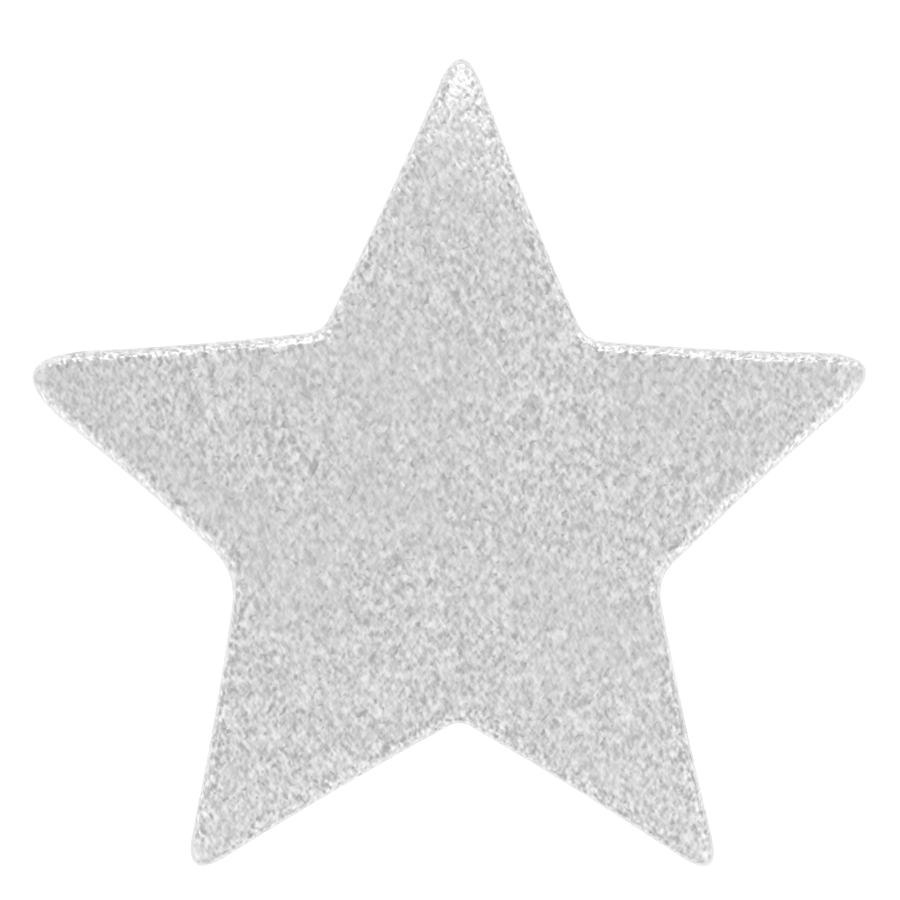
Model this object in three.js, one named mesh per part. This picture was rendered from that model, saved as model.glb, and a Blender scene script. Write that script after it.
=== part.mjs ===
// A star-shaped stick-on gift topper: a pressed metal star over a card core, with a foam pad and a liner.
// It lies on its liner: +Z points out of the star's face and +Y at its top tip. All sizes are in millimetres.
import * as THREE from 'three';

// Driving dimensions of the star, seen from the front.
// Each corner has its reach from the centre, its bearing from +X in degrees, and its rounding, given as the
// radius of the circle that would leave both edges where the corner's curve does.
const corners = [
  { reach: 28.1, bearing: 88.8, round: 1.3 },
  { reach: 12.9, bearing: 126.9, round: 1.6 },
  { reach: 29.0, bearing: 162.5, round: 2.4 },
  { reach: 13.4, bearing: 197.5, round: 4.1 },
  { reach: 27.8, bearing: 234.6, round: 1.3 },
  { reach: 12.9, bearing: 272.0, round: 1.4 },
  { reach: 27.9, bearing: 305.5, round: 1.2 },
  { reach: 13.0, bearing: 339.9, round: 2.7 },
  { reach: 28.2, bearing: 378.3, round: 1.9 },
  { reach: 12.6, bearing: 410.9, round: 1.9 },
];
const edgeHollow = 0.12;
const sharpestRound = 0.02;
const arcSteps = 6;
const edgeSteps = 5;

// Driving dimensions of the layers, from the liner upwards.
const linerThickness = 0.12;
const adhesiveThickness = 0.08;
const foamThickness = 1.0;
const cardThickness = 0.5;
const cardRecess = 0.15;
const glueThickness = 0.1;
const coreThickness = 0.9;
const starThickness = 2.6;

// Driving dimensions of the pressed shell.
const sheetThickness = 0.4;
const shoulderRadius = 0.65;
const shoulderSteps = 4;
const domeDrop = 0.7;
const domeReach = 28;
const domePower = 8;
const faceRings = [0.93, 0.85, 0.74, 0.5];
const innerClearance = 0.3;
const cardClearance = 0.05;
const glueClearance = 2;

// Driving dimensions of the stick-on pad and its liner.
const padRadius = 11.2;
const linerRadius = 11.6;
const tabWidth = 8;
const tabEnd = 16.5;
const tabRound = 2;
const discSegments = 24;

// Heights of the layer boundaries above the underside of the liner.
const foamBottom = linerThickness + adhesiveThickness;
const foamTop = foamBottom + foamThickness;
const shellBottom = foamTop + adhesiveThickness - cardRecess;
const cardBottom = foamTop + adhesiveThickness;
const cardTop = cardBottom + cardThickness;
const coreBottom = cardTop + glueThickness;
const coreTop = coreBottom + coreThickness;
const shellTop = shellBottom + starThickness;

function cornerPoint({ reach, bearing }) {
  const angle = THREE.MathUtils.degToRad(bearing);
  return new THREE.Vector2(reach * Math.cos(angle), reach * Math.sin(angle));
}

// The star's outline, moved inwards by inset. Every inset gives the same number of points in the same order.
function starOutline(inset) {
  const tips = corners.map(cornerPoint);
  const count = tips.length;
  const directions = tips.map((tip, i) => tips[(i + 1) % count].clone().sub(tip).normalize());
  const arcs = tips.map((tip, i) => {
    const arriving = directions[(i + count - 1) % count];
    const leaving = directions[i];
    const arrivingNormal = new THREE.Vector2(-arriving.y, arriving.x);
    const leavingNormal = new THREE.Vector2(-leaving.y, leaving.x);
    const turn = arriving.cross(leaving) > 0 ? 1 : -1;
    const cosine = THREE.MathUtils.clamp(arriving.dot(leaving), -1, 1);
    const mitre = arrivingNormal.add(leavingNormal).divideScalar(1 + cosine);
    const corner = tip.clone().addScaledVector(mitre, inset);
    const radius = Math.max(corners[i].round - turn * inset, sharpestRound);
    const reach = radius * Math.tan(Math.acos(cosine) / 2);
    const start = corner.clone().addScaledVector(arriving, -reach);
    const end = corner.clone().addScaledVector(leaving, reach);
    return new THREE.QuadraticBezierCurve(start, corner, end).getPoints(arcSteps);
  });
  const outline = [];
  arcs.forEach((arc, i) => {
    outline.push(...arc);
    const from = arc[arcSteps];
    const to = arcs[(i + 1) % count][0];
    const inward = new THREE.Vector2(-directions[i].y, directions[i].x);
    for (let step = 1; step < edgeSteps; step += 1) {
      const along = step / edgeSteps;
      const hollow = edgeHollow * 4 * along * (1 - along);
      outline.push(from.clone().lerp(to, along).addScaledVector(inward, hollow));
    }
  });
  return outline;
}

// How far the domed face lies below its middle at a point.
function domeFall(point) {
  return domeDrop * (point.length() / domeReach) ** domePower;
}

// A ring of 3-D points over an outline, at a height, or at a depth below the domed face.
function flatRing(outline, height) {
  return outline.map((point) => new THREE.Vector3(point.x, point.y, height));
}

function domedRing(outline, top, depth) {
  return outline.map((point) => new THREE.Vector3(point.x, point.y, top - depth - domeFall(point)));
}

// A closed body through a list of rings, which starts and ends on a point.
function closedLoft(first, rings, last) {
  const count = rings[0].length;
  const vertices = [first, ...rings.flat(), last];
  const lastIndex = vertices.length - 1;
  const indices = [];
  for (let i = 0; i < count; i += 1) {
    const next = (i + 1) % count;
    indices.push(0, 1 + next, 1 + i);
    for (let ring = 0; ring < rings.length - 1; ring += 1) {
      const low = 1 + ring * count;
      const high = low + count;
      indices.push(low + i, low + next, high + next);
      indices.push(low + i, high + next, high + i);
    }
    const top = 1 + (rings.length - 1) * count;
    indices.push(top + i, top + next, lastIndex);
  }
  const geometry = new THREE.BufferGeometry().setFromPoints(vertices);
  geometry.setIndex(indices);
  return geometry;
}

// One surface of the pressed star, from the foot of its skirt to its middle.
function starSurface(offset, foot, top) {
  const radius = shoulderRadius - offset;
  const edge = starOutline(offset);
  const rings = [flatRing(edge, foot)];
  for (let step = 0; step <= shoulderSteps; step += 1) {
    const angle = (Math.PI / 2) * step / shoulderSteps;
    const inset = offset + radius * (1 - Math.cos(angle));
    rings.push(domedRing(starOutline(inset), top, radius * (1 - Math.sin(angle))));
  }
  const rim = starOutline(offset + radius);
  for (const scale of faceRings) {
    rings.push(domedRing(rim.map((point) => point.clone().multiplyScalar(scale)), top, 0));
  }
  return rings;
}

function faceShellGeometry() {
  const outside = starSurface(0, shellBottom, shellTop);
  const insideTop = shellTop - sheetThickness;
  const inside = starSurface(sheetThickness, shellBottom, insideTop);
  const innerMiddle = new THREE.Vector3(0, 0, insideTop);
  const outerMiddle = new THREE.Vector3(0, 0, shellTop);
  return closedLoft(innerMiddle, [...inside.reverse(), ...outside], outerMiddle);
}

// A flat star, which fits inside the shell with a clearance.
function starShape(clearance) {
  return new THREE.Shape(starOutline(sheetThickness + clearance));
}

function discShape(radius) {
  const shape = new THREE.Shape();
  shape.absarc(0, 0, radius, 0, 2 * Math.PI);
  return shape;
}

// A disc with a round-ended tab towards +Y.
function linerShape() {
  const half = tabWidth / 2;
  const join = Math.acos(half / linerRadius);
  const shape = new THREE.Shape();
  shape.absarc(0, 0, linerRadius, Math.PI - join, 2 * Math.PI + join);
  shape.lineTo(half, tabEnd - tabRound);
  shape.absarc(half - tabRound, tabEnd - tabRound, tabRound, 0, Math.PI / 2);
  shape.absarc(tabRound - half, tabEnd - tabRound, tabRound, Math.PI / 2, Math.PI);
  shape.closePath();
  return shape;
}

function layer(shape, thickness, curveSegments) {
  return new THREE.ExtrudeGeometry(shape, { depth: thickness, bevelEnabled: false, curveSegments });
}

const group = new THREE.Group();

function addPiece(name, geometry, height, material) {
  const mesh = new THREE.Mesh(geometry, new THREE.MeshStandardMaterial(material));
  mesh.name = name;
  mesh.position.z = height;
  group.add(mesh);
}

const brushedMetal = { color: 0xd0d0d0, roughness: 0.45, metalness: 1 };
const greyboard = { color: 0x9a9488, roughness: 0.95, metalness: 0 };
const whiteCard = { color: 0xe6e4de, roughness: 0.8, metalness: 0 };
const clearGlue = { color: 0xe8e2cc, roughness: 0.35, metalness: 0 };
const whiteFoam = { color: 0xf0f0ee, roughness: 0.9, metalness: 0 };
const linerPaper = { color: 0xf3ecd6, roughness: 0.5, metalness: 0 };

const linerSteps = discSegments / 2;
addPiece('release_liner', layer(linerShape(), linerThickness, linerSteps), 0, linerPaper);
addPiece('pad_face_adhesive', layer(discShape(padRadius), adhesiveThickness, discSegments), linerThickness, clearGlue);
addPiece('pad_foam', layer(discShape(padRadius), foamThickness, discSegments), foamBottom, whiteFoam);
addPiece('pad_back_adhesive', layer(discShape(padRadius), adhesiveThickness, discSegments), foamTop, clearGlue);
addPiece('backing_card', layer(starShape(cardClearance), cardThickness, 1), cardBottom, whiteCard);
addPiece('core_glue', layer(starShape(glueClearance), glueThickness, 1), cardTop, clearGlue);
addPiece('filler_core', layer(starShape(innerClearance), coreThickness, 1), coreBottom, greyboard);
addPiece('face_shell', faceShellGeometry(), 0, brushedMetal);

export default group;
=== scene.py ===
"""A star-shaped stick-on gift topper in scratch-brushed metal, lying face up. Lengths are in metres."""

import math

import bmesh
import bpy
import numpy as np
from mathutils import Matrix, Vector, kdtree, noise


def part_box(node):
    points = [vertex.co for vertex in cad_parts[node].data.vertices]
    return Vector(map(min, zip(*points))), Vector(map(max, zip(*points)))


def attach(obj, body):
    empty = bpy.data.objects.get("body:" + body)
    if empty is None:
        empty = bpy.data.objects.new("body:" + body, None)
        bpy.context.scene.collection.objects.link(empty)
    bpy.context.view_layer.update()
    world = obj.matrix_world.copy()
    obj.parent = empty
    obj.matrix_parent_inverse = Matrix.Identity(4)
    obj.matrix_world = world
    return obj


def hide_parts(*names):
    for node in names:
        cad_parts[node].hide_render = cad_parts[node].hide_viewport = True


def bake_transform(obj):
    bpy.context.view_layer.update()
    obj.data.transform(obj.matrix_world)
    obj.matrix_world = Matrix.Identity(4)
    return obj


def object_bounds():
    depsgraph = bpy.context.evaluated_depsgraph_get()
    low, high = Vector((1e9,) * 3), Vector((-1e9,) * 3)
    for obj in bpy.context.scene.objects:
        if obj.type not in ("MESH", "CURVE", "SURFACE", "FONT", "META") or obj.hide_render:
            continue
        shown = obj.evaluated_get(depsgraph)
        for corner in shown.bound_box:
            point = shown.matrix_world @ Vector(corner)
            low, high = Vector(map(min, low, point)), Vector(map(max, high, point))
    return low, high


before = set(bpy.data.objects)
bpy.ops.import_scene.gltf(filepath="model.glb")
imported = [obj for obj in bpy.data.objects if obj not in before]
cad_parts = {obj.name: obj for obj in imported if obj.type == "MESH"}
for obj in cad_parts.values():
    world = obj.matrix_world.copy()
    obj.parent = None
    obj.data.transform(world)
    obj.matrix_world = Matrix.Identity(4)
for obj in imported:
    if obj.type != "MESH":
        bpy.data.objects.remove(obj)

cad_low, cad_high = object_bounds()
MM = 0.001

# ---------------------------------------------------------------- driving dimensions

# The corners of the star: reach from the centre, bearing from +X in degrees, and rounding, given as the
# radius of the circle that would leave both edges where the corner's curve does.
CORNERS = [
    (12.6 * MM, 50.9, 1.9 * MM),
    (28.1 * MM, 88.8, 1.3 * MM),
    (12.9 * MM, 126.9, 1.6 * MM),
    (29.0 * MM, 162.5, 2.4 * MM),
    (13.4 * MM, 197.5, 4.1 * MM),
    (27.8 * MM, 234.6, 1.3 * MM),
    (12.9 * MM, 272.0, 1.4 * MM),
    (27.9 * MM, 305.5, 1.2 * MM),
    (13.0 * MM, 339.9, 2.7 * MM),
    (28.2 * MM, 378.3, 1.9 * MM),
]
SHARPEST_ROUND = 0.02 * MM
EDGE_HOLLOW = 0.12 * MM
HALF_ARC_STEPS = 8
EDGE_STEPS = 100

SHEET = 0.4 * MM
SHOULDER = 0.65 * MM
SHOULDER_STEPS = 12
LIP = 0.12 * MM
LIP_STEPS = 4
DOME_DROP = 0.7 * MM
DOME_REACH = 28 * MM
DOME_POWER = 8
CEILING_SCALES = (0.5, 0.74, 0.85, 0.93)
EDGE_ROLL = 0.05 * MM
ROLL_WIDTH = 1.7 * MM
UNEVENNESS = 0.012 * MM
UNEVEN_SPACING = 1.1 * MM

# The star-shaped layers: how far each clears the shell, and how much its cut edges are softened.
CARD_CLEARANCE = 0.05 * MM
CARD_SOFTENING = 0.08 * MM
CORE_CLEARANCE = 0.3 * MM
CORE_SOFTENING = 0.1 * MM
GLUE_CLEARANCE = 2.0 * MM
GLUE_SOFTENING = 0.03 * MM
PLATE_ARC_STEPS = 5
PLATE_EDGE_STEPS = 30
# A softened edge: its way in from the cut and its way off the flat, as shares of the softening.
SOFT_EDGE = ((1.0, 0.0), (0.3, 0.3), (0.0, 1.0))
FLAT_INSET = 3

FILM_STEPS = 180
FILM_WANDER = 0.05 * MM
FILM_INSET = 0.1 * MM
WANDERS = 9

FOAM_STEPS = 360
FOAM_ROWS = 14
FOAM_WAIST = 0.06 * MM
FOAM_PORE = 0.05 * MM
FOAM_PORE_SPACING = 0.22 * MM
FOAM_INSET = 0.15 * MM

LINER_TAB_HALF = 4 * MM
LINER_TAB_ROUND = 2 * MM
LINER_LIFT = 0.1 * MM
LINER_COLUMNS = 24
LINER_FINE_LENGTH = 2 * MM
LINER_FINE_ROWS = 41
LINER_COARSE_ROWS = 90
LINER_END_GAP = 0.002 * MM

FLOOR_GAP = 0.02 * MM
FLOOR_REACH = 1.2
SHADOW_RING_INSET = 0.3 * MM
UNDER_LINER_SHARE = 0.98

PICTURE_WIDTH = 53.8 * MM
PICTURE_CENTRE = (-0.12 * MM, 3.23 * MM)
FOCUS_BELOW_TOP = 0.6 * MM
LENS = 120
SENSOR = 36

shell_low, shell_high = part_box("face_shell")
card_low, card_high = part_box("backing_card")
foam_low, foam_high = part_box("pad_foam")
liner_low, liner_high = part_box("release_liner")


# ---------------------------------------------------------------- outlines and meshes

def turned(vector):
    """The vector turned a quarter turn to the left."""
    return np.array([-vector[1], vector[0]])


def corner_curve(before, corner, after, rounding, inset, half_steps):
    """The curve that rounds one corner of an outline moved inwards by inset."""
    arriving = (corner - before) / np.linalg.norm(corner - before)
    leaving = (after - corner) / np.linalg.norm(after - corner)
    cosine = float(arriving @ leaving)
    side = 1.0 if arriving[0] * leaving[1] - arriving[1] * leaving[0] > 0 else -1.0
    moved = corner + (turned(arriving) + turned(leaving)) / (1 + cosine) * inset
    radius = max(rounding - side * inset, SHARPEST_ROUND)
    reach = radius * math.tan(math.acos(cosine) / 2)
    start, end = moved - reach * arriving, moved + reach * leaving
    along = np.linspace(0, 1, 2 * half_steps + 1)[:, None]
    return (1 - along) ** 2 * start + 2 * along * (1 - along) * moved + along ** 2 * end


def star_outline(inset, half_steps=HALF_ARC_STEPS, edge_steps=EDGE_STEPS):
    """The star's outline moved inwards by inset, anticlockwise from the middle of the first notch."""
    points = [
        np.array([reach * math.cos(math.radians(bearing)), reach * math.sin(math.radians(bearing))])
        for reach, bearing, _ in CORNERS
    ]
    count = len(points)
    arcs = [
        corner_curve(points[i - 1], points[i], points[(i + 1) % count], CORNERS[i][2], inset, half_steps)
        for i in range(count)
    ]
    outline = []
    for i, arc in enumerate(arcs):
        outline.extend(arc)
        start, end = arc[-1], arcs[(i + 1) % count][0]
        inward = turned((end - start) / np.linalg.norm(end - start))
        for along in np.arange(1, edge_steps) / edge_steps:
            hollow = EDGE_HOLLOW * 4 * along * (1 - along)
            outline.append(start + (end - start) * along + inward * hollow)
    return np.roll(np.array(outline), -half_steps, axis=0)


def dome_fall(points):
    """How far the domed face lies below its middle."""
    return DOME_DROP * (np.linalg.norm(points, axis=-1) / DOME_REACH) ** DOME_POWER


def edge_roll(depth):
    """How far the face rolls down towards its rim, at a depth in from the outline."""
    return EDGE_ROLL * np.maximum(1 - depth / ROLL_WIDTH, 0) ** 2


def depth_inside(points, outline):
    """How far each plan point lies inside an outline of closely spaced points."""
    tree = kdtree.KDTree(len(outline))
    for i, (x, y) in enumerate(outline):
        tree.insert((x, y, 0), i)
    tree.balance()
    return np.array([tree.find((x, y, 0))[2] for x, y in points])


def ring(outline, heights):
    """A ring of 3-D points over an outline."""
    heights = np.broadcast_to(heights, (len(outline),))
    return np.column_stack([outline, heights])


class MeshParts:
    """Vertices and faces gathered from several grids.

    Each vertex has its depth in from the star's edge, in shoulder widths.
    """

    def __init__(self):
        self.vertices = []
        self.faces = []
        self.depths = []

    def add_vertices(self, points, depths):
        first = len(self.vertices)
        self.vertices.extend(np.asarray(points).reshape(-1, 3).tolist())
        self.depths.extend(np.broadcast_to(depths, (len(self.vertices) - first,)).tolist())
        return first

    def add_grid(self, rows, columns, first, closed):
        """Quads over rows of points already added. A closed grid joins its last column to its first."""
        for row in range(rows - 1):
            for column in range(columns if closed else columns - 1):
                following = (column + 1) % columns
                low = first + row * columns
                high = low + columns
                self.faces.append((low + column, low + following, high + following, high + column))

    def add_fan(self, first, count, middle, middle_depth, outward_up):
        """Triangles from a ring to a middle point."""
        centre = self.add_vertices([middle], middle_depth)
        for i in range(count):
            following = (i + 1) % count
            pair = (first + i, first + following) if outward_up else (first + following, first + i)
            self.faces.append((*pair, centre))

    def build(self, name, merge):
        """The finished mesh object, smooth shaded, with its seams merged."""
        mesh = bpy.data.meshes.new(name)
        mesh.from_pydata(self.vertices, [], self.faces)
        attribute = mesh.attributes.new("edge_depth", "FLOAT", "POINT")
        attribute.data.foreach_set("value", np.array(self.depths, dtype=np.float32))
        work = bmesh.new()
        work.from_mesh(mesh)
        bmesh.ops.remove_doubles(work, verts=work.verts, dist=merge)
        work.to_mesh(mesh)
        work.free()
        mesh.polygons.foreach_set("use_smooth", [True] * len(mesh.polygons))
        piece = bpy.data.objects.new(name, mesh)
        bpy.context.scene.collection.objects.link(piece)
        return piece


def arm_patch(notch_to_tip, far_notch_to_tip):
    """A grid of plan points over one arm, from the star's centre out to the two halves of its rim."""
    steps = len(notch_to_tip) - 1
    u = np.linspace(0, 1, steps + 1)[:, None, None]
    v = np.linspace(0, 1, steps + 1)[None, :, None]
    near, far, tip = notch_to_tip[0], far_notch_to_tip[0], notch_to_tip[-1]
    ruled_across = (1 - v) * (u * near) + v * far_notch_to_tip[:, None, :]
    ruled_along = (1 - u) * (v * far) + u * notch_to_tip[None, :, :]
    bilinear = u * (1 - v) * near + (1 - u) * v * far + u * v * tip
    return ruled_across + ruled_along - bilinear


# ---------------------------------------------------------------- the pressed star

def unevenness(points):
    """The slight hand-finished rise and fall of the face, as a height at each plan point."""
    heights = [noise.noise(Vector((x, y, 0)) / UNEVEN_SPACING) for x, y in points]
    return UNEVENNESS * np.array(heights)


def quarter_turn(steps):
    """Angles from 0 to a quarter turn, with so many steps between them."""
    return [math.pi / 2 * step / steps for step in range(steps + 1)]


def make_face(parts, top):
    """The domed face inside the shoulder, one grid to each arm."""
    rim = star_outline(SHOULDER)
    outer = star_outline(0)
    half = len(rim) // len(CORNERS)
    looped = np.vstack([rim, rim[:1]])
    for arm in range(len(CORNERS) // 2):
        notch = 2 * arm * half
        near = looped[notch : notch + half + 1]
        far = looped[notch + half : notch + 2 * half + 1][::-1]
        plan = arm_patch(near, far).transpose(1, 0, 2).reshape(-1, 2)
        depths = depth_inside(plan, outer)
        heights = top - dome_fall(plan) - edge_roll(depths) + unevenness(plan)
        first = parts.add_vertices(np.column_stack([plan, heights]), depths / SHOULDER)
        parts.add_grid(half + 1, half + 1, first, closed=False)


def make_face_shell():
    """The pressed metal star: domed face, rounded shoulder, skirt with a turned lip, open underneath."""
    top = shell_high[2]
    foot = shell_low[2]
    parts = MeshParts()
    make_face(parts, top)
    rings = []
    ceiling = top - SHEET
    inside = star_outline(SHEET)
    for scale in (*CEILING_SCALES, 1.0):
        shrunk = inside * scale
        rings.append((ring(shrunk, ceiling - dome_fall(shrunk)), 1.0))
    for angle in quarter_turn(LIP_STEPS):
        outline = star_outline(SHEET - LIP * (1 - math.cos(angle)))
        rings.append((ring(outline, foot + LIP * (1 - math.sin(angle))), 0.0))
    for angle in quarter_turn(LIP_STEPS):
        outline = star_outline(LIP * (1 - math.sin(angle)))
        rings.append((ring(outline, foot + LIP * (1 - math.cos(angle))), 0.0))
    for angle in quarter_turn(SHOULDER_STEPS):
        share = 1 - math.cos(angle)
        outline = star_outline(SHOULDER * share)
        fall = dome_fall(outline) + SHOULDER * (1 - math.sin(angle)) + edge_roll(SHOULDER * share)
        heights = top - fall + unevenness(outline) * math.sin(angle)
        rings.append((ring(outline, heights), share))
    first = len(parts.vertices)
    for points, depth in rings:
        parts.add_vertices(points, depth)
    count = len(inside)
    parts.add_grid(len(rings), count, first, closed=True)
    parts.add_fan(first, count, (0, 0, ceiling), 1.0, outward_up=False)
    return parts.build("pressed_star", 1e-7)


# ---------------------------------------------------------------- the flat layers

def make_plate(name, outlines_and_heights):
    """A closed flat piece through rings listed from its lower face, round its edge, to its upper face."""
    parts = MeshParts()
    for outline, height in outlines_and_heights:
        parts.add_vertices(ring(outline, height), 0.0)
    count = len(outlines_and_heights[0][0])
    last = count * (len(outlines_and_heights) - 1)
    parts.add_grid(len(outlines_and_heights), count, 0, closed=True)
    parts.add_fan(0, count, (0, 0, outlines_and_heights[0][1]), 0.0, outward_up=False)
    parts.add_fan(last, count, (0, 0, outlines_and_heights[-1][1]), 0.0, outward_up=True)
    return parts.build(name, 1e-8)


def make_star_plate(name, clearance, low, high, soften):
    """A star-shaped layer inside the shell, with slightly softened cut edges."""

    def cut_outline(inwards):
        return star_outline(SHEET + clearance + inwards * soften, PLATE_ARC_STEPS, PLATE_EDGE_STEPS)

    flat = cut_outline(FLAT_INSET)
    lower = [(cut_outline(inwards), low + away * soften) for inwards, away in SOFT_EDGE]
    upper = [(cut_outline(inwards), high - away * soften) for inwards, away in SOFT_EDGE[::-1]]
    return make_plate(name, [(flat, low), *lower, *upper, (flat, high)])


def circle(radius, count, wander=0.0, seed=0.0):
    """A circle of points, whose radius may wander a little."""
    points = []
    for i in range(count):
        angle = 2 * math.pi * i / count
        way = Vector((math.cos(angle), math.sin(angle), 0))
        reach = radius + wander * noise.noise(way * WANDERS + Vector((0, 0, seed)))
        points.append((way.x * reach, way.y * reach))
    return np.array(points)


def make_film(name, low, high, seed):
    """A round adhesive film with a slightly wandering cut edge."""
    radius = foam_high[0]
    flat = circle(radius - FILM_INSET, FILM_STEPS)
    cut_edge = circle(radius - 0.5 * FILM_WANDER, FILM_STEPS, FILM_WANDER, seed)
    return make_plate(name, [(flat, low), (cut_edge, low), (cut_edge, high), (flat, high)])


def make_foam():
    """The round foam pad, with soft die-cut edges and a side wall of open cut cells."""
    radius = foam_high[0]
    height = foam_high[2] - foam_low[2]
    flat = circle(radius - FOAM_INSET, FOAM_STEPS)
    rings = [(flat, foam_low[2])]
    for row in range(FOAM_ROWS + 1):
        share = row / FOAM_ROWS
        bulge = math.sin(math.pi * share)
        level = foam_low[2] + height * share
        outline = circle(radius - FOAM_WAIST * bulge, FOAM_STEPS)
        for i, (x, y) in enumerate(outline):
            cell = noise.noise(Vector((x, y, level)) / FOAM_PORE_SPACING)
            shrink = 1 - FOAM_PORE * max(cell, 0.0) * bulge / radius
            outline[i] = (x * shrink, y * shrink)
        rings.append((outline, level))
    rings.append((flat, foam_high[2]))
    return make_plate("foam_pad", rings)


def liner_half_width(y):
    """Half the liner's width at a distance up the star: a disc, then a tab with round corners."""
    radius = liner_high[0]
    join = math.sqrt(radius ** 2 - LINER_TAB_HALF ** 2)
    if y <= join:
        return math.sqrt(max(radius ** 2 - y ** 2, 0.0))
    past = max(y - (liner_high[1] - LINER_TAB_ROUND), 0.0)
    corner = LINER_TAB_ROUND - math.sqrt(max(LINER_TAB_ROUND ** 2 - past ** 2, 0.0))
    return LINER_TAB_HALF - corner


def make_liner():
    """The paper liner, in rows from its edge towards -Y, closely spaced there, to the end of its slightly
    lifted tab.
    """
    low, high = liner_low[2], liner_high[2]
    start, end = liner_low[1], liner_high[1]
    near_rows = start + np.linspace(0, LINER_FINE_LENGTH, LINER_FINE_ROWS)
    far_rows = np.linspace(start + LINER_FINE_LENGTH, end, LINER_COARSE_ROWS)[1:]
    rows = np.concatenate([near_rows, far_rows])
    rows[0] = start + LINER_END_GAP
    rows[-1] = end - LINER_END_GAP
    across = np.sin(np.linspace(-math.pi / 2, math.pi / 2, LINER_COLUMNS + 1))
    parts = MeshParts()
    count = 2 * (LINER_COLUMNS + 1)
    join = liner_high[0]
    for y in rows:
        half = liner_half_width(y)
        lift = LINER_LIFT * max((y - join) / (end - join), 0.0) ** 2
        below = [(half * x, y, low + lift) for x in across[::-1]]
        above = [(half * x, y, high + lift) for x in across]
        parts.add_vertices(below + above, 0.0)
    parts.add_grid(len(rows), count, 0, closed=True)
    for first, flipped in ((0, True), ((len(rows) - 1) * count, False)):
        for i in range(LINER_COLUMNS):
            mirror = count - 1 - i
            quad = (first + i, first + i + 1, first + mirror - 1, first + mirror)
            parts.faces.append(quad[::-1] if flipped else quad)
    return parts.build("peel_liner", 1e-9)


# ---------------------------------------------------------------- materials

class Nodes:
    """A short way to write a material's nodes."""

    def __init__(self, name):
        self.material = bpy.data.materials.new(name)
        self.material.use_nodes = True
        self.tree = self.material.node_tree
        self.shader = self.tree.nodes["Principled BSDF"]

    def add(self, kind, inputs=(), **settings):
        node = self.tree.nodes.new(kind)
        for key, value in settings.items():
            setattr(node, key, value)
        for key, value in dict(inputs).items():
            self.feed(value, node.inputs[key])
        return node

    def feed(self, value, socket):
        if isinstance(value, bpy.types.NodeSocket):
            self.tree.links.new(value, socket)
        else:
            socket.default_value = value

    def math(self, operation, first, second=0.0, clamp=False):
        node = self.add("ShaderNodeMath", operation=operation, use_clamp=clamp)
        self.feed(first, node.inputs[0])
        self.feed(second, node.inputs[1])
        return node.outputs[0]

    def spread(self, value, low, high, new_low=0.0, new_high=1.0):
        node = self.add("ShaderNodeMapRange", interpolation_type="SMOOTHSTEP")
        self.feed(value, node.inputs["Value"])
        self.feed(low, node.inputs["From Min"])
        self.feed(high, node.inputs["From Max"])
        self.feed(new_low, node.inputs["To Min"])
        self.feed(new_high, node.inputs["To Max"])
        return node.outputs["Result"]

    def place(self):
        return self.add("ShaderNodeTexCoord").outputs["Object"]

    def noise(self, place, per_metre, detail=2.0, roughness=0.5, turn=0.0, stretch=1.0, offset=0.0):
        """Noise with so many cells to the metre, drawn out along a direction turned from +X."""
        aimed = self.add("ShaderNodeMapping", vector_type="POINT")
        self.feed(place, aimed.inputs["Vector"])
        aimed.inputs["Rotation"].default_value = (0, 0, -turn)
        squeezed = self.add("ShaderNodeVectorMath", operation="MULTIPLY")
        self.feed(aimed.outputs["Vector"], squeezed.inputs[0])
        squeezed.inputs[1].default_value = (1 / stretch, 1, 1)
        shifted = self.add("ShaderNodeVectorMath", operation="ADD")
        self.feed(squeezed.outputs["Vector"], shifted.inputs[0])
        shifted.inputs[1].default_value = (offset, offset * 0.7, offset * 0.3)
        node = self.add("ShaderNodeTexNoise", noise_dimensions="3D")
        self.feed(shifted.outputs["Vector"], node.inputs["Vector"])
        node.inputs["Scale"].default_value = per_metre
        node.inputs["Detail"].default_value = detail
        node.inputs["Roughness"].default_value = roughness
        return node.outputs["Fac"]

    def colours(self, factor, dark, light):
        node = self.add("ShaderNodeMix", data_type="RGBA")
        self.feed(factor, node.inputs["Factor"])
        node.inputs["A"].default_value = (*dark, 1)
        node.inputs["B"].default_value = (*light, 1)
        return node.outputs["Result"]

    def bump(self, height, distance, strength):
        node = self.add("ShaderNodeBump", {"Height": height, "Distance": distance, "Strength": strength})
        return node.outputs["Normal"]


# The crossing scratches of the grain: direction in degrees from +X, share, length over width.
GRAIN = [(-74, 1.2, 1.9), (-48, 0.9, 2.2), (58, 1.0, 2.1)]
GRAIN_PER_METRE = 4400
GRAIN_DEPTH = 1.7
# The bright strokes: direction, the noise value that each starts at, length over width.
STROKES = [(-60, 0.68, 3.5), (-47, 0.7, 3.5), (54, 0.7, 3.5), (76, 0.72, 3), (10, 0.76, 3)]
STROKES_PER_METRE = 2900
STROKE_FADE = 0.16
STROKE_HEIGHT = 0.7
PITS_PER_METRE = 2700
PIT_DEPTH = 0.9
PATCHES_PER_METRE = 170
BEADS_PER_METRE = 2900
BURR_HEIGHT = 20.0
TIPS_START = 24.6 * MM
TIPS_END = 26.3 * MM


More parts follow.
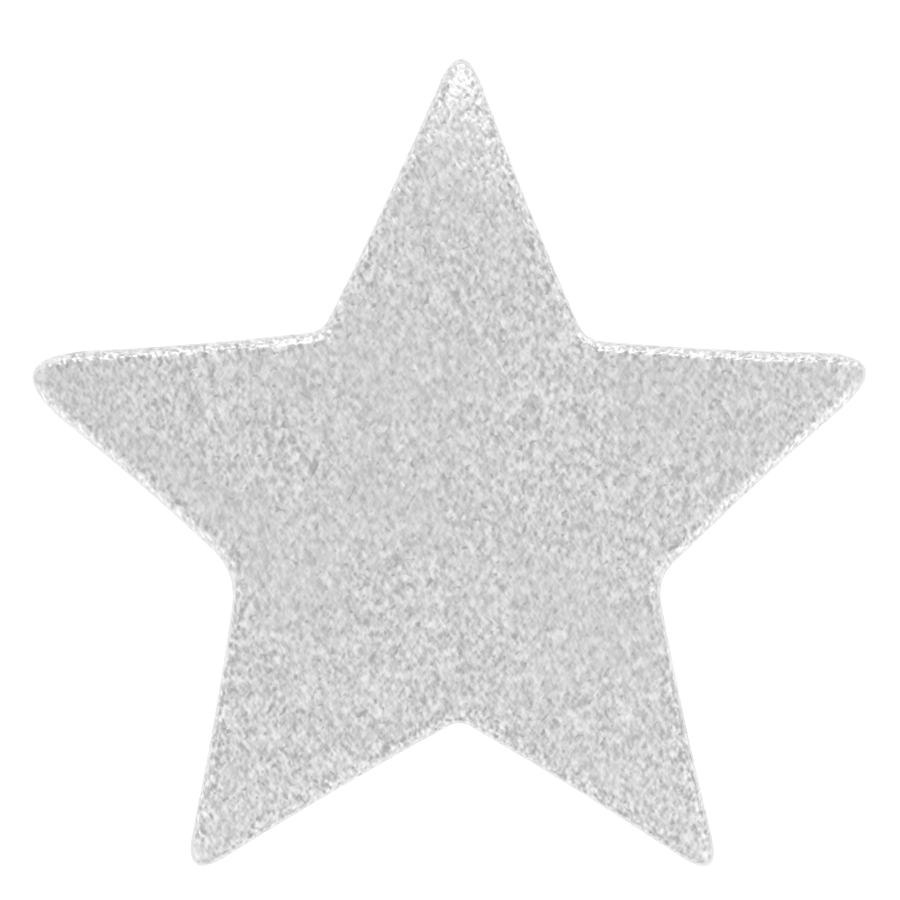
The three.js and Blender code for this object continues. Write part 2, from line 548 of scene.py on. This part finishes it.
def scratches(nodes, place):
    """The face's relief: an uneven grain of crossing scratches, dark pits, and sparse bright strokes."""
    patches = nodes.noise(place, PATCHES_PER_METRE, 2.0, 0.5, math.radians(-55), 1.6)
    coarse_here = nodes.spread(patches, 0.36, 0.62, 0.66, 1.0)
    grain = 0.0
    for i, (bearing, share, stretch) in enumerate(GRAIN):
        layer = nodes.noise(place, GRAIN_PER_METRE, 0.8, 0.5, math.radians(bearing), stretch, 0.041 * i)
        layer = nodes.math("MULTIPLY", nodes.math("SUBTRACT", layer, 0.5), GRAIN_DEPTH * share)
        grain = nodes.math("ADD", grain, layer)
    grain = nodes.math("MULTIPLY", grain, coarse_here)
    pits = nodes.noise(place, PITS_PER_METRE, 0.0, 0.5, math.radians(60), 1.2, 0.031)
    pits = nodes.math("MULTIPLY", nodes.spread(pits, 0.68, 0.8), coarse_here)
    strokes = 0.0
    for i, (bearing, start, stretch) in enumerate(STROKES):
        offset = 0.017 * (i + 1)
        drawn = nodes.noise(place, STROKES_PER_METRE, 1.0, 0.5, math.radians(bearing), stretch, offset)
        strokes = nodes.math("MAXIMUM", strokes, nodes.spread(drawn, start, start + STROKE_FADE))
    relief = nodes.math("SUBTRACT", grain, nodes.math("MULTIPLY", pits, PIT_DEPTH))
    return nodes.math("ADD", relief, nodes.math("MULTIPLY", strokes, STROKE_HEIGHT))


def share_of_relief(nodes, edge, off_tips):
    """How much of the relief is left: less on the shoulder and at the tips, more just inside the shoulder."""
    on_skirt = nodes.spread(edge, 0.0, 0.03, 0.6, 0.0)
    on_top = nodes.spread(edge, 0.03, 0.5, 0.3, 1.0)
    inside_shoulder = nodes.spread(edge, 0.9, 2.2, 1.3, 1.0)
    near_tips = nodes.math("ADD", nodes.math("MULTIPLY", off_tips, 0.5), 0.5)
    share = nodes.math("MULTIPLY", nodes.math("ADD", on_top, on_skirt), inside_shoulder)
    return nodes.math("MULTIPLY", share, near_tips)


def brushed_metal():
    """Neutral silvery sheet, scratch-brushed on its face and smoother on its rim and tips.

    Edge is the depth in from the outline, in shoulder widths: 0 on the skirt and 1 where the face begins.
    """
    nodes = Nodes("brushed_metal")
    place = nodes.place()
    edge = nodes.add("ShaderNodeAttribute", attribute_name="edge_depth").outputs["Fac"]
    reach = nodes.add("ShaderNodeVectorMath", {0: place}, operation="LENGTH").outputs["Value"]
    off_tips = nodes.spread(reach, TIPS_START, TIPS_END, 1.0, 0.0)
    relief = nodes.math("MULTIPLY", scratches(nodes, place), share_of_relief(nodes, edge, off_tips))

    # Over the skirt and the outer shoulder the colour is a tenth darker, fading out where the face begins:
    # painted shade.
    shoulder_painted_shade = nodes.spread(edge, 0.35, 1.0, 0.9, 1.0)
    # A lighter line just above the skirt, along the rim's turn: a painted highlight.
    rim_highlight_rise = nodes.spread(edge, 0.0, 0.02, 0.1, 0.22)
    rim_highlight_fall = nodes.spread(edge, 0.02, 0.2, 0.22, 0.0)
    painted_rim_highlight = nodes.math("MINIMUM", rim_highlight_rise, rim_highlight_fall)
    tone = nodes.math("MULTIPLY", nodes.spread(relief, -1.3, 1.3), shoulder_painted_shade)
    tone = nodes.math("ADD", tone, painted_rim_highlight)

    beads = nodes.noise(place, BEADS_PER_METRE, 0.0, 0.5, 0.0, 1.0, 0.077)
    # Grinding scallops along the inner edge of the shoulder, off the tips, as darker spots in the colour:
    # real marks, with their shade painted.
    scallop_shade = nodes.math("MULTIPLY", nodes.spread(edge, 0.7, 1.0), nodes.spread(edge, 1.7, 1.1))
    scallop_shade = nodes.math("MULTIPLY", scallop_shade, nodes.spread(beads, 0.5, 0.66, 0.0, 0.22))
    scallop_shade = nodes.math("MULTIPLY", scallop_shade, off_tips)
    tone = nodes.math("SUBTRACT", tone, scallop_shade, clamp=True)
    nodes.feed(nodes.colours(tone, (0.46, 0.46, 0.46), (0.98, 0.98, 0.98)), nodes.shader.inputs["Base Color"])

    normal = nodes.add("ShaderNodeSeparateXYZ", {0: nodes.add("ShaderNodeNewGeometry").outputs["Normal"]})
    burred_side = nodes.spread(normal.outputs["Y"], 0.0, 0.35, 0.25, 1.0)
    on_rim = nodes.math("MULTIPLY", nodes.spread(edge, 0.02, 0.2), nodes.spread(edge, 1.1, 0.7))
    where_burred = nodes.math("MULTIPLY", on_rim, burred_side)
    burrs = nodes.math("MULTIPLY", nodes.math("SUBTRACT", beads, 0.5), where_burred)
    height = nodes.math("ADD", relief, nodes.math("MULTIPLY", burrs, BURR_HEIGHT))
    nodes.feed(nodes.bump(height, 0.025 * MM, 0.35), nodes.shader.inputs["Normal"])
    nodes.shader.inputs["Roughness"].default_value = 0.33
    nodes.shader.inputs["Metallic"].default_value = 1.0
    nodes.shader.inputs["Specular Tint"].default_value = (0.85, 0.85, 0.85, 1)
    return nodes.material


def card_material(name, dark, light, fibre_strength):
    """Pressed fibres: a fine mottle in colour and relief."""
    nodes = Nodes(name)
    place = nodes.place()
    fibres = nodes.noise(place, 2500, 3.0, 0.6, math.radians(20), 3.0)
    crossing = nodes.noise(place, 2500, 3.0, 0.6, math.radians(-65), 3.0, 0.05)
    clouds = nodes.noise(place, 300, 2.0, 0.5)
    mottle = nodes.math("MULTIPLY", nodes.math("ADD", fibres, crossing), 0.5)
    shade = nodes.math("ADD", nodes.math("MULTIPLY", mottle, 0.7), nodes.math("MULTIPLY", clouds, 0.3))
    nodes.feed(nodes.colours(nodes.spread(shade, 0.35, 0.65), dark, light), nodes.shader.inputs["Base Color"])
    nodes.shader.inputs["Roughness"].default_value = 0.85
    nodes.feed(nodes.bump(mottle, 0.03 * MM, fibre_strength), nodes.shader.inputs["Normal"])
    return nodes.material


def foam_material():
    """White closed-cell foam, with small round cells."""
    nodes = Nodes("white_foam")
    cells = nodes.add("ShaderNodeTexVoronoi", feature="F1")
    nodes.feed(nodes.place(), cells.inputs["Vector"])
    cells.inputs["Scale"].default_value = 5200
    depth = nodes.spread(cells.outputs["Distance"], 0.1, 0.6)
    colour = nodes.colours(depth, (0.78, 0.78, 0.77), (0.93, 0.93, 0.92))
    nodes.feed(colour, nodes.shader.inputs["Base Color"])
    nodes.shader.inputs["Roughness"].default_value = 0.8
    nodes.shader.inputs["Subsurface Weight"].default_value = 0.15
    nodes.shader.inputs["Subsurface Radius"].default_value = (0.3 * MM, 0.3 * MM, 0.3 * MM)
    nodes.feed(nodes.bump(depth, 0.05 * MM, 0.6), nodes.shader.inputs["Normal"])
    return nodes.material


def adhesive_material():
    """Soft, slightly yellow acrylic film with faint ripples."""
    nodes = Nodes("clear_adhesive")
    ripples = nodes.noise(nodes.place(), 900, 2.0, 0.5)
    colour = nodes.colours(ripples, (0.84, 0.81, 0.72), (0.92, 0.9, 0.83))
    nodes.feed(colour, nodes.shader.inputs["Base Color"])
    nodes.shader.inputs["Roughness"].default_value = 0.18
    nodes.feed(nodes.bump(ripples, 0.04 * MM, 0.4), nodes.shader.inputs["Normal"])
    return nodes.material


def liner_material():
    """Siliconised paper: cream, faintly mottled, with a soft sheen."""
    nodes = Nodes("liner_paper")
    place = nodes.place()
    fibres = nodes.noise(place, 3200, 3.0, 0.6, math.radians(35), 2.5)
    clouds = nodes.noise(place, 350, 2.0, 0.5)
    shade = nodes.math("MULTIPLY", nodes.math("ADD", fibres, clouds), 0.5)
    colour = nodes.colours(nodes.spread(shade, 0.3, 0.7), (0.86, 0.79, 0.62), (0.91, 0.85, 0.7))
    nodes.feed(colour, nodes.shader.inputs["Base Color"])
    nodes.shader.inputs["Roughness"].default_value = 0.5
    nodes.shader.inputs["Coat Weight"].default_value = 0.08
    nodes.shader.inputs["Coat Roughness"].default_value = 0.3
    nodes.feed(nodes.bump(fibres, 0.02 * MM, 0.3), nodes.shader.inputs["Normal"])
    return nodes.material


# ---------------------------------------------------------------- dressing the pieces

def dress(piece, material, node):
    """Gives a piece its material, and hides the CAD node that it stands for."""
    piece.data.materials.append(material)
    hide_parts(node)
    return piece


metal = brushed_metal()
white_card = card_material("white_card", (0.77, 0.76, 0.73), (0.86, 0.85, 0.82), 0.35)
greyboard = card_material("greyboard", (0.4, 0.38, 0.34), (0.6, 0.57, 0.52), 0.6)
adhesive = adhesive_material()

core_low, core_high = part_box("filler_core")
glue_low, glue_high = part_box("core_glue")
back_film_low, back_film_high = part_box("pad_back_adhesive")
face_film_low, face_film_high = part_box("pad_face_adhesive")

card = make_star_plate("back_card", CARD_CLEARANCE, card_low[2], card_high[2], CARD_SOFTENING)
core = make_star_plate("star_core", CORE_CLEARANCE, core_low[2], core_high[2], CORE_SOFTENING)
glue = make_star_plate("glue_film", GLUE_CLEARANCE, glue_low[2], glue_high[2], GLUE_SOFTENING)
back_film = make_film("back_film", back_film_low[2], back_film_high[2], 1.0)
foam = make_foam()
face_film = make_film("face_film", face_film_low[2], face_film_high[2], 2.0)
rooted = [
    dress(make_face_shell(), metal, "face_shell"),
    dress(card, white_card, "backing_card"),
    dress(core, greyboard, "filler_core"),
    dress(glue, adhesive, "core_glue"),
    dress(back_film, adhesive, "pad_back_adhesive"),
    dress(foam, foam_material(), "pad_foam"),
    dress(face_film, adhesive, "pad_face_adhesive"),
]
for rooted_piece in rooted:
    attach(rooted_piece, "root")

liner = dress(make_liner(), liner_material(), "release_liner")
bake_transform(liner)

# ---------------------------------------------------------------- stage, light and camera

def floor_material(name, base, glow):
    """Matt white, clear from its back."""
    nodes = Nodes(name)
    nodes.shader.inputs["Base Color"].default_value = (base, base, base, 1)
    nodes.shader.inputs["Roughness"].default_value = 0.9
    nodes.shader.inputs["Emission Color"].default_value = (1, 1, 1, 1)
    nodes.shader.inputs["Emission Strength"].default_value = glow
    clear = nodes.add("ShaderNodeBsdfTransparent")
    back = nodes.add("ShaderNodeNewGeometry").outputs["Backfacing"]
    mix = nodes.add("ShaderNodeMixShader")
    nodes.feed(back, mix.inputs["Fac"])
    nodes.tree.links.new(nodes.shader.outputs["BSDF"], mix.inputs[1])
    nodes.tree.links.new(clear.outputs["BSDF"], mix.inputs[2])
    nodes.tree.links.new(mix.outputs["Shader"], nodes.tree.nodes["Material Output"].inputs["Surface"])
    return nodes.material


def liner_reach(way):
    """How far the liner reaches along a direction from the pad's middle: to its disc, or across its tab."""
    radius = liner_high[0]
    if way[1] <= 0:
        return radius
    to_tab_side = LINER_TAB_HALF / max(abs(way[0]), 1e-9)
    return max(radius, min(liner_high[1] / way[1], to_tab_side))


def make_floor():
    """A white sweep, which isn't seen from below.

    The floor glows, but not in a ring under the star's rim, drawn to the star's outline: there it only takes
    the light that gets in, so the star's contact shadow shows in that outline, a painted shadow edge over
    real shade. It glows again under the liner, which lights the liner's underside.
    """
    edge = star_outline(SHADOW_RING_INSET)
    ways = edge / np.linalg.norm(edge, axis=1)[:, None]
    under_liner = np.array([way * liner_reach(way) for way in ways]) * UNDER_LINER_SHARE
    parts = MeshParts()
    height = cad_low.z - FLOOR_GAP
    for outline in (FLOOR_REACH * ways, edge, under_liner):
        parts.add_vertices(ring(outline, height), 0.0)
    parts.add_grid(3, len(edge), 0, closed=True)
    parts.add_fan(2 * len(edge), len(edge), (0, 0, height), 0.0, outward_up=True)
    floor = parts.build("floor", 1e-9)
    for name, base, glow in (("sweep", 0.4, 0.78), ("unlit_shadow_ring", 0.8, 0.0)):
        floor.data.materials.append(floor_material(name, base, glow))
    # The ring under the star's rim takes the second material, which doesn't glow: a painted contact shadow in
    # the star's outline.
    for face in floor.data.polygons[len(edge) : 2 * len(edge)]:
        face.material_index = 1


def make_world():
    """A light tent, a little brighter low down and towards the star's top tip. Seen directly it is white."""
    world = bpy.data.worlds.new("tent")
    world.use_nodes = True
    bpy.context.scene.world = world
    tree = world.node_tree
    background = tree.nodes["Background"]

    def calc(operation, first, second):
        node = tree.nodes.new("ShaderNodeMath")
        node.operation = operation
        for socket, value in zip(node.inputs, (first, second)):
            if isinstance(value, bpy.types.NodeSocket):
                tree.links.new(value, socket)
            else:
                socket.default_value = value
        return node.outputs[0]

    def blend_in(value, low, high, low_result, high_result):
        node = tree.nodes.new("ShaderNodeMapRange")
        node.interpolation_type = "SMOOTHSTEP"
        tree.links.new(value, node.inputs["Value"])
        node.inputs["From Min"].default_value = low
        node.inputs["From Max"].default_value = high
        node.inputs["To Min"].default_value = low_result
        node.inputs["To Max"].default_value = high_result
        return node.outputs["Result"]

    def window(value, start, end, strength):
        """A light that comes in over the start span of a direction and goes out over its end span."""
        return calc("MULTIPLY", blend_in(value, *start, 0.0, strength), blend_in(value, *end, 1.0, 0.0))

    place = tree.nodes.new("ShaderNodeTexCoord").outputs["Generated"]
    split = tree.nodes.new("ShaderNodeSeparateXYZ")
    tree.links.new(place, split.inputs[0])
    x, y, z = split.outputs
    overhead = blend_in(z, 0.5, 1.0, 0.72, 0.69)
    behind = window(y, (0.58, 0.78), (0.86, 0.96), 0.5)
    front = window(y, (0.02, -0.18), (-0.7, -0.88), 0.28)
    right = window(x, (0.25, 0.45), (0.75, 0.9), 0.27)
    left = window(x, (-0.45, -0.65), (-0.78, -0.9), 0.3)
    narrow = blend_in(calc("ABSOLUTE", x, 0.0), 0.1, 0.24, 1.0, 0.0)
    tip_light = calc("MULTIPLY", window(y, (0.24, 0.38), (0.65, 0.85), 1.8), narrow)
    total = overhead
    for light in (behind, front, right, left, tip_light):
        total = calc("ADD", total, light)
    seen_directly = tree.nodes.new("ShaderNodeLightPath").outputs["Is Camera Ray"]
    total = calc("MAXIMUM", total, seen_directly)
    tree.links.new(total, background.inputs["Strength"])
    background.inputs["Color"].default_value = (1, 1, 1, 1)


def make_camera():
    """Straight above the star, through a long lens."""
    centre = Vector((*PICTURE_CENTRE, shell_high[2] - FOCUS_BELOW_TOP))
    data = bpy.data.cameras.new("camera")
    data.lens = LENS
    data.sensor_width = SENSOR
    camera = bpy.data.objects.new("camera", data)
    bpy.context.scene.collection.objects.link(camera)
    distance = PICTURE_WIDTH * LENS / SENSOR
    camera.location = centre + Vector((0, 0, distance))
    data.clip_start = distance / 100
    data.clip_end = distance * 100
    bpy.context.scene.camera = camera


make_floor()
make_world()
make_camera()
bpy.context.scene.view_settings.view_transform = "Standard"
